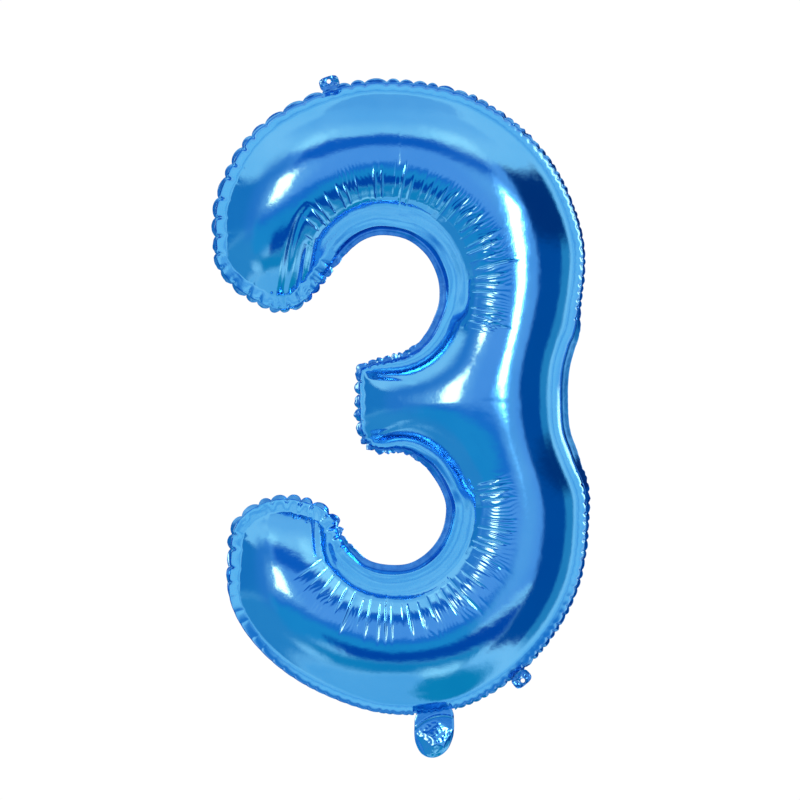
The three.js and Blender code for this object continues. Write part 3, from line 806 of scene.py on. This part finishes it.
def seam_margin(material):
    """The welded margin: a thin closed band that stands out from the seam in petals."""
    walk = SEAM_LINE.walk
    gap = TAIL_WIDTH / 2 + TAIL_SIDE_GAP
    every_other = np.arange(len(walk)) % 2 == 0
    line = SEAM_LINE.at_steps((walk > gap) & (walk < walk[-1] - gap) & every_other)
    v = np.linspace(0, 1, MARGIN_ROWS + 1) ** 0.85
    far = -MARGIN_LAP + (petal_reach(line)[:, None] + MARGIN_LAP) * v
    flat = line.at[:, None] + line.out[:, None] * far[..., None]
    middle = margin_depth(line, flat, far, v)
    half = SEAM_HALF + BEAD_HEIGHT * bell(v - BEAD_AT, BEAD_WIDTH)
    around = np.concatenate([to_row(flat, middle - half), to_row(flat, middle + half)[:, ::-1]], 1)
    index = tube_index(around.shape[:2])
    quads = np.vstack([grid_quads(index)] + end_caps(index))
    piece = new_object("seam_margin_crimped", around.reshape(-1, 3), quads, material,
                       "balloon")
    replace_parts(piece, "seam_margin")


# ---- hang tabs and tail ----

TAB_ROWS, TAB_COLUMNS = 15, 96
TAB_INNER_EDGE = -0.0055  # from the fold line in to the tab's root in the margin
TAB_SQUARENESS = 2 / 3.2
TAB_FREE_FROM, TAB_ROOT_SHARE = (-0.003, 0.006), 0.25  # where its crinkles grow from this share to full
TAB_BEND, TAB_BEND_CELL, TAB_FINE, TAB_FINE_CELL = 0.0042, 0.013, 0.0012, 0.005


def two_faces(front, back, index, seams):
    """Points and quads of a sheet's front and back, joined along those rows of point numbers."""
    quads = [grid_quads(index), grid_quads(index + front.size // 3)[:, ::-1]]
    for a, b in seams:
        quads.append(np.stack([a[:-1], a[1:], b[1:], b[:-1]], -1))
    return np.concatenate([front.reshape(-1, 3), back.reshape(-1, 3)]), np.vstack(quads)


def tab_rings():
    """Rings of the tab in its own plane, as across and out, from the punched hole to the edge."""
    turn = np.linspace(0, 2 * np.pi, TAB_COLUMNS + 1)[:-1]
    c, s = np.cos(turn), np.sin(turn)
    half_height = (TAB_REACH - TAB_INNER_EDGE) / 2
    across = TAB_WIDTH / 2 * np.sign(c) * np.abs(c) ** TAB_SQUARENESS
    out = TAB_INNER_EDGE + half_height * (1 + np.sign(s) * np.abs(s) ** TAB_SQUARENESS)
    edge = np.stack([across, out], -1)
    hole = np.stack([TAB_HOLE * c, TAB_HOLE_OUT + TAB_HOLE * s], -1)
    share = np.linspace(0, 1, TAB_ROWS)[:, None, None]
    return hole + (edge - hole) * share


def hang_tab(name, node, tab, seed, material):
    """A crinkled welded flap with a punched hole, rooted in the seam margin."""
    fold, along, out = tab
    local = tab_rings()
    flat = fold + local[..., :1] * along + local[..., 1:] * out
    x, z = np.moveaxis(local, -1, 0)
    free = TAB_ROOT_SHARE + (1 - TAB_ROOT_SHARE) * smoothstep(*TAB_FREE_FROM, z)
    ruck = (crinkle(seed, x, z, TAB_BEND, TAB_BEND_CELL, 4)
            + crinkle(seed + 5, x, z, TAB_FINE, TAB_FINE_CELL)) * free
    front, back = to_row(flat, ruck - SEAM_HALF), to_row(flat, ruck + SEAM_HALF)
    index = tube_index(front.shape[:2])
    other = index + front.size // 3
    seams = ((index[0, ::-1], other[0, ::-1]), (other[-1, ::-1], index[-1, ::-1]))
    points, quads = two_faces(front, back, index, seams)
    piece = new_object(name, points, quads, material)
    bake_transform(piece)
    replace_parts(piece, node)


POUCH_TOP = -0.004  # how far above its fold the pouch begins
POUCH_ROWS, POUCH_COLUMNS = (34, 36), 61  # rows above the rounded end and along it
NECK_LENGTH, NECK_RADIUS = 0.008, 0.022
SIDE_EDGE, END_EDGE = 0.12, 0.006  # where the layers part: share of the half width, and length
SIDE_SLOPES = (0.0206, 0.0220)  # rise of the two side facets over the half width
POUCH_CRUSH = ((0, 0.0014, 0.015, 3), (3, 0.0006, 0.006, 4))  # extra seed, height, cell and folds
LIP_HEIGHT, LIP_WIDTH, LIP_AT, LIP_CURVE, LIP_MIDDLE = 0.0012, 0.0012, 0.004, 12.5, 0.006
POUCH_LEAST, POUCH_WOBBLE, WOBBLE_LENGTH = 0.0010, 0.025, 0.011


def pouch_rows():
    """The pouch's rows: how far each lies below the fold, and half its width."""
    straight = TAIL_LENGTH - POUCH_ROUNDING
    drop = spaced((POUCH_TOP, straight, TAIL_LENGTH), POUCH_ROWS)
    inside = np.clip((drop - straight) / POUCH_ROUNDING, 0, 1)
    drop = np.where(drop > straight, straight + POUCH_ROUNDING * np.sin(np.pi / 2 * inside), drop)
    past = (np.maximum(drop, straight) - straight) / POUCH_ROUNDING
    narrowing = np.sqrt(np.clip(1 - past**2, 0.0004, 1))
    neck = np.sqrt(1 - (np.maximum(NECK_LENGTH - drop, 0) / NECK_RADIUS) ** 2)
    wobble = 1 + POUCH_WOBBLE * noise(91, drop / WOBBLE_LENGTH)
    return drop, TAIL_WIDTH / 2 * narrowing * neck * wobble


def pouch_depth(seed, x, u, drop):
    """How far one layer stands off the weld's plane, in crushed flat facets under a raised lip."""
    facets = [centre + across * x + down * (drop - TAIL_LENGTH / 2)
              for centre, across, down in TAIL_FACETS]
    facets += [SIDE_SLOPES[0] * (1 + u) + 0 * drop, SIDE_SLOPES[1] * (1 - u) + 0 * drop]
    crushed = sum(crinkle(seed + extra, x, drop, *how) for extra, *how in POUCH_CRUSH)
    lip = LIP_HEIGHT * bell(drop - LIP_AT - LIP_CURVE * (x - LIP_MIDDLE) ** 2, LIP_WIDTH)
    side_edge = np.clip((1 - np.abs(u)) / SIDE_EDGE, 0, 1) ** 0.5
    end_edge = np.clip((TAIL_LENGTH - drop) / END_EDGE, 0, 1) ** 0.5
    return side_edge * end_edge * (np.maximum(np.min(facets, axis=0) + crushed, POUCH_LEAST) + lip)


def tail_pouch(material):
    """The filling tail: two crumpled foil layers welded along their edges, round the valve's films."""
    at, along, out = seam_frame(TAIL_STATION)
    fold = at + out * HINGE_BELOW_SEAM
    rows, half = pouch_rows()
    u = np.sin(np.pi / 2 * np.linspace(-1, 1, POUCH_COLUMNS))[None]
    x = u * half[:, None]
    drop = np.broadcast_to(rows[:, None], x.shape)
    flat = np.stack([fold[0] + x, fold[1] + x * along[1] / along[0] - drop], -1)
    front, back = (to_row(flat, side * (SEAM_HALF + pouch_depth(seed, x, u, drop)))
                   for side, seed in ((-1, 95), (1, 105)))
    index = np.arange(x.size).reshape(x.shape)
    other = index + x.size
    seams = ((index[0], other[0]), (index[:, -1], other[:, -1]),
             (index[-1, ::-1], other[-1, ::-1]), (index[::-1, 0], other[::-1, 0]))
    points, quads = two_faces(front, back, index, seams)
    piece = new_object("tail_pouch", points, quads, material)
    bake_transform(piece)
    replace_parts(piece, "tail_front_foil", "tail_back_foil", "tail_weld_left", "tail_weld_right")


# ---- materials ----


class Nodes:
    """Short calls that add nodes to a material or a world."""

    def __init__(self, owner):
        owner.use_nodes = True
        self.nodes, self.links = owner.node_tree.nodes, owner.node_tree.links

    def join(self, value, socket):
        """Links another node's output to the socket, or sets a plain value on it."""
        if isinstance(value, bpy.types.NodeSocket):
            self.links.new(value, socket)
        else:
            socket.default_value = value

    def add(self, kind, inputs=(), **settings):
        node = self.nodes.new(kind)
        for key, value in settings.items():
            setattr(node, key, value)
        for key, value in dict(inputs).items():
            self.join(value, node.inputs[key])
        return node

    def mixed(self, share, low, high):
        return self.add("ShaderNodeMix", {0: share, 6: low, 7: high}, data_type="RGBA").outputs[2]


class Shader(Nodes):
    """A Principled material."""

    def __init__(self, name):
        self.material = bpy.data.materials.new(name)
        super().__init__(self.material)
        self.place = self.add("ShaderNodeTexCoord").outputs["Object"]

    def noise(self, scale, detail=3.0, distortion=0.0):
        inputs = {"Vector": self.place, "Scale": scale, "Detail": detail, "Distortion": distortion}
        return self.add("ShaderNodeTexNoise", inputs).outputs["Fac"]

    def ramp(self, value, low, high):
        """Noise, which is mostly between 0.3 and 0.7, stretched from low to high."""
        inputs = {"Value": value, "From Min": 0.3, "From Max": 0.7, "To Min": low, "To Max": high}
        return self.add("ShaderNodeMapRange", inputs).outputs["Result"]

    def colours(self, value, low, high):
        return self.mixed(self.ramp(value, 0.0, 1.0), (*low, 1), (*high, 1))

    def set(self, **values):
        for key, value in values.items():
            self.join(value, self.nodes["Principled BSDF"].inputs[key.replace("_", " ")])

    def bump(self, height, distance, below=None):
        inputs = {"Height": height, "Distance": distance}
        if below:
            inputs["Normal"] = below
        return self.add("ShaderNodeBump", inputs).outputs["Normal"]


FOIL_DEEP, FOIL_LIGHT = (0.115, 0.465, 0.860), (0.150, 0.510, 0.890)
# The margin's blues are darker than the foil's: painted shade on the margin's teeth and petals.
MARGIN_SHADED_DEEP, MARGIN_SHADED_LIGHT = (0.055, 0.26, 0.64), (0.12, 0.43, 0.84)
EDGE_TINT = (0.40, 0.72, 0.97, 1)  # of light that grazes the film


def foil_material():
    """Metallised film, dyed blue: a mirror with a clear coat, faintly cloudy and finely crinkled."""
    s = Shader("blue_foil_looks")
    s.set(Metallic=1.0, Specular_Tint=EDGE_TINT, Coat_Weight=0.15)
    s.set(Base_Color=s.colours(s.noise(14), FOIL_DEEP, FOIL_LIGHT))
    s.set(Roughness=s.ramp(s.noise(60, 4), 0.055, 0.10))
    crinkle = s.bump(s.noise(420, 2, 1.5), 0.00005)
    s.set(Normal=s.bump(s.noise(38, 2), 0.0004, below=crinkle))
    return s.material


def margin_material():
    """The same film where two layers are welded: duller and faintly uneven, and a darker blue than the
    foil, which is painted shade on the margin's teeth.
    """
    s = Shader("blue_margin_looks")
    s.set(Metallic=1.0, Specular_Tint=EDGE_TINT, Coat_Weight=0.15)
    s.set(Base_Color=s.colours(s.noise(90), MARGIN_SHADED_DEEP, MARGIN_SHADED_LIGHT))
    s.set(Roughness=s.ramp(s.noise(300, 4), 0.10, 0.18))
    s.set(Normal=s.bump(s.noise(170, 2, 1.0), 0.00012))
    return s.material


def film_material():
    """Milky clear polyethylene film of the valve."""
    s = Shader("clear_film_looks")
    s.set(Transmission_Weight=0.7, IOR=1.5, Coat_Weight=0.2)
    s.set(Base_Color=s.colours(s.noise(60), (0.78, 0.84, 0.88), (0.90, 0.93, 0.95)))
    s.set(Roughness=s.ramp(s.noise(200), 0.22, 0.42), Normal=s.bump(s.noise(90, 3, 0.6), 0.0003))
    return s.material


def ink_material():
    """Matt white heat-resistant ink, printed a little unevenly."""
    s = Shader("release_ink_looks")
    s.set(Base_Color=s.colours(s.noise(150, 5), (0.84, 0.84, 0.81), (0.94, 0.94, 0.92)))
    s.set(Roughness=s.ramp(s.noise(400), 0.55, 0.75), Normal=s.bump(s.noise(900, 4), 0.00006))
    return s.material


# ---- the studio ----

# Panels of the room as the foil mirrors it: azimuth from the camera's side towards +X, elevation,
# half width, half height and softness in degrees, then linear colour.
WALLS, BACKDROP = (1.0, 1.0, 1.0), (1.02, 1.02, 1.02)
PANELS = [
    ("ceiling", 0, 90, 400, 22, 2, (0.56, 0.72, 0.87)),
    ("ceiling_front", -5, 66, 80, 12, 10, (0.66, 0.80, 0.92)),
    ("floor", 0, -90, 400, 34, 5, (0.50, 0.75, 0.87)),
    ("left_side", -84, 7, 32, 17, 3, (0.06, 0.34, 0.59)),
    ("left_low", -80, -30, 46, 22, 7, (0.12, 0.44, 0.64)),
    ("front", 0, 10, 50, 28, 2, (0.42, 0.56, 0.85)),
    ("front_left", -50, 10, 14, 24, 10, (0.12, 0.36, 0.66)),
    ("front_high", 0, 31, 34, 8, 3, (0.02, 0.21, 0.58)),
    ("front_teal", -16, -20, 34, 13, 5, (0.06, 0.46, 0.66)),
    ("front_waist", -14, -7, 30, 4, 4, (0.05, 0.30, 0.66)),
    ("front_low", 12, -31, 36, 8, 3, (0.0, 0.12, 0.42)),
    ("front_floor", -8, -46, 46, 8, 4, (0.03, 0.42, 0.58)),
    ("right_side_edge", 95, -4, 12, 38, 4, (0.10, 0.42, 0.58)),
    ("right_side", 68, -4, 20, 40, 3, (0.0, 0.13, 0.36)),
    ("right_side_high", 77, 23, 27, 13, 4, (0.0, 0.06, 0.20)),
    ("behind", 180, 4, 17, 28, 1.5, (0.50, 0.62, 0.85)),
    ("behind_low", 180, -24, 40, 8, 5, (0.10, 0.36, 0.66)),
    ("behind_box_glow", 152, 10, 10, 18, 8, (0.75, 0.84, 0.95)),
    ("behind_box", 152, 12, 4, 12, 1.5, (5.0, 3.0, 1.8)),
    ("right_floor", 86, -72, 74, 15, 5, (0.02, 0.44, 0.55)),
    ("left_spot_high", -37, 43, 9, 5, 5, (1.6, 1.35, 1.15)),
    ("right_spot_high", 26, 44, 12, 6, 6, (1.6, 1.35, 1.15)),
    ("left_spot_low", -52, -47, 8, 6, 6, (1.0, 1.0, 1.0)),
    ("right_spot_low", 20, -55, 13, 6, 6, (1.4, 1.25, 1.1)),
    ("right_box_glow", 26, 4, 12, 20, 9, (0.50, 0.66, 0.87)),
    ("left_box_glow", -33, 8, 13, 9, 9, (0.85, 0.86, 0.95)),
    ("left_box", -33, 9, 6, 8, 1.5, (8.0, 4.0, 2.0)),
]
# Rings of the room round the front-to-back axis: angle from the front, half width, softness, colour.
WALL_RINGS = [(124, 2.0, 1.5, (0.60, 0.78, 0.92)), (132, 2.5, 1.5, (0.45, 0.66, 0.86)),
              (147, 1.5, 1.5, (0.66, 0.80, 0.92))]
# The key light: a soft box with a bright core, as layers of width, height and radiance.
KEY_PLACE, KEY_TARGET = (0.465, -0.72, 0.27), (0.17, -0.09, 0.20)
KEY_LAYERS = [
    ("key_core", 0.13, 0.54, 12.0), ("key_middle", 0.18, 0.62, 1.5), ("key_rim", 0.28, 0.74, 0.35)]
CENTRE = (0.0991, 0.0, -0.4429)  # what the camera looks at
CAMERA_DISTANCE = 8.0
FRAME_WIDTH = 1.112
SENSOR = 36.0
CAMERA_REACH = 50
FLOOR_RADIUS, FLOOR_HEIGHT, FLOOR_SIDES = 3.0, -1.25, 128


class World(Nodes):
    """A world that paints soft-edged panels and rings by direction."""

    def __init__(self):
        world = bpy.data.worlds.new("studio")
        bpy.context.scene.world = world
        super().__init__(world)
        place = self.add("ShaderNodeTexCoord").outputs["Generated"]
        x, y, z = self.add("ShaderNodeSeparateXYZ", {0: place}).outputs
        self.azimuth = self.math("DEGREES", self.math("ARCTAN2", x, self.math("MULTIPLY", y, -1.0)))
        self.elevation = self.math("DEGREES", self.math("ARCSINE", z))
        self.from_front = self.math("DEGREES", self.math("ARCCOSINE", self.math("MULTIPLY", y, -1.0)))
        self.colour = (*WALLS, 1)

    def math(self, operation, *values):
        return self.add("ShaderNodeMath", dict(enumerate(values)), operation=operation).outputs[0]

    def edge(self, away, half, soft):
        """1 within half of a middle line and 0 outside, over a soft edge."""
        inputs = {"Value": away, "From Min": half - soft, "From Max": half + soft,
                  "To Min": 1.0, "To Max": 0.0}
        node = self.add("ShaderNodeMapRange", inputs, interpolation_type="SMOOTHSTEP")
        return node.outputs["Result"]

    def paint(self, azimuth, elevation, half_width, half_height, soft, colour):
        turned = self.math("SUBTRACT", self.azimuth, azimuth + 180.0)
        wrapped = self.math("SUBTRACT", self.math("FLOORED_MODULO", turned, 360.0), 180.0)
        wide = self.edge(self.math("ABSOLUTE", wrapped), half_width, soft)
        lifted = self.math("ABSOLUTE", self.math("SUBTRACT", self.elevation, elevation))
        self.cover(self.math("MULTIPLY", wide, self.edge(lifted, half_height, soft)), colour)

    def paint_ring(self, angle, half_width, soft, colour):
        away = self.math("ABSOLUTE", self.math("SUBTRACT", self.from_front, angle))
        self.cover(self.edge(away, half_width, soft), colour)

    def cover(self, mask, colour):
        """Lays a colour over all that is painted so far, where the mask is 1."""
        self.colour = self.mixed(mask, self.colour, (*colour, 1))

    def finish(self):
        """The camera itself sees a plain white backdrop."""
        self.cover(self.add("ShaderNodeLightPath").outputs["Is Camera Ray"], BACKDROP)
        self.links.new(self.colour, self.nodes["Background"].inputs["Color"])


def softbox(name, place, target, width, height, radiance):
    """A soft rectangular light, seen by the foil but not by the camera. Places are from the centre."""
    light = bpy.data.lights.new(name, "AREA")
    light.shape = "RECTANGLE"
    light.size, light.size_y = width, height
    light.energy = radiance * np.pi * width * height
    lamp = bpy.data.objects.new(name, light)
    lamp.location = Vector(CENTRE) + Vector(place)
    lamp.rotation_euler = (Vector(target) - Vector(place)).to_track_quat("-Z", "Z").to_euler()
    lamp.visible_camera = False
    put_in_scene(lamp)


def paint_room():
    """The room that the foil mirrors, and the key light."""
    world = World()
    for wall_ring in WALL_RINGS:
        world.paint_ring(*wall_ring)
    for _, *panel in PANELS:
        world.paint(*panel)
    world.finish()
    for name, width, height, radiance in KEY_LAYERS:
        softbox(name, KEY_PLACE, KEY_TARGET, width, height, radiance)


def place_camera():
    """The camera looks square at the digit's front from far away."""
    camera = bpy.data.cameras.new("camera")
    camera.sensor_width = SENSOR
    camera.lens = SENSOR * CAMERA_DISTANCE / FRAME_WIDTH
    camera.clip_end = CAMERA_REACH
    holder = bpy.data.objects.new("camera", camera)
    holder.location = (CENTRE[0], CENTRE[1] - CAMERA_DISTANCE, CENTRE[2])
    holder.rotation_euler = (np.pi / 2, 0, 0)
    put_in_scene(holder)
    bpy.context.scene.camera = holder


def lay_floor():
    """A plain pale round floor."""
    turn = np.linspace(0, 2 * np.pi, FLOOR_SIDES + 1)[:-1]
    round_edge = np.stack([FLOOR_RADIUS * np.cos(turn), FLOOR_RADIUS * np.sin(turn),
                           np.full_like(turn, FLOOR_HEIGHT)], -1)
    mesh = bpy.data.meshes.new("floor")
    mesh.from_pydata(round_edge.tolist(), [], [tuple(range(FLOOR_SIDES))])
    floor = bpy.data.objects.new("floor", mesh)
    put_in_scene(floor)
    paint = Shader("floor_paint")
    paint.set(Base_Color=paint.colours(paint.noise(3), (0.86, 0.86, 0.86), (0.9, 0.9, 0.9)),
              Roughness=0.9)
    mesh.materials.append(paint.material)
    floor.visible_glossy = False  # the foil mirrors the world's painted floor instead


# ---- the balloon ----

NEAR_SEAM = near_seam(POINTS)
HEIGHT = taut_bands(HEIGHT, NEAR_SEAM[1])
FOLD_HEIGHT = folds()
bpy.context.scene.view_settings.view_transform = "Standard"
paint_room()
place_camera()
lay_floor()
FOIL, MARGIN, FILM, INK = foil_material(), margin_material(), film_material(), ink_material()
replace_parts(foil_shell("front_foil_inflated", -1, 21, FOIL), "front_foil")
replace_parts(foil_shell("back_foil_inflated", 1, 61, FOIL), "back_foil")
seam_margin(MARGIN)
# The tabs take the margin's look, whose darker blue is painted shade.
hang_tab("upper_hang_tab_crinkled", "upper_hang_tab", UPPER_TAB, 131, MARGIN)
hang_tab("lower_hang_tab_crinkled", "lower_hang_tab", LOWER_TAB, 151, MARGIN)
tail_pouch(FOIL)
for name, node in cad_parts.items():
    if "film" in name or "ink" in name:
        node.data.materials.clear()
        node.data.materials.append(INK if "ink" in name else FILM)
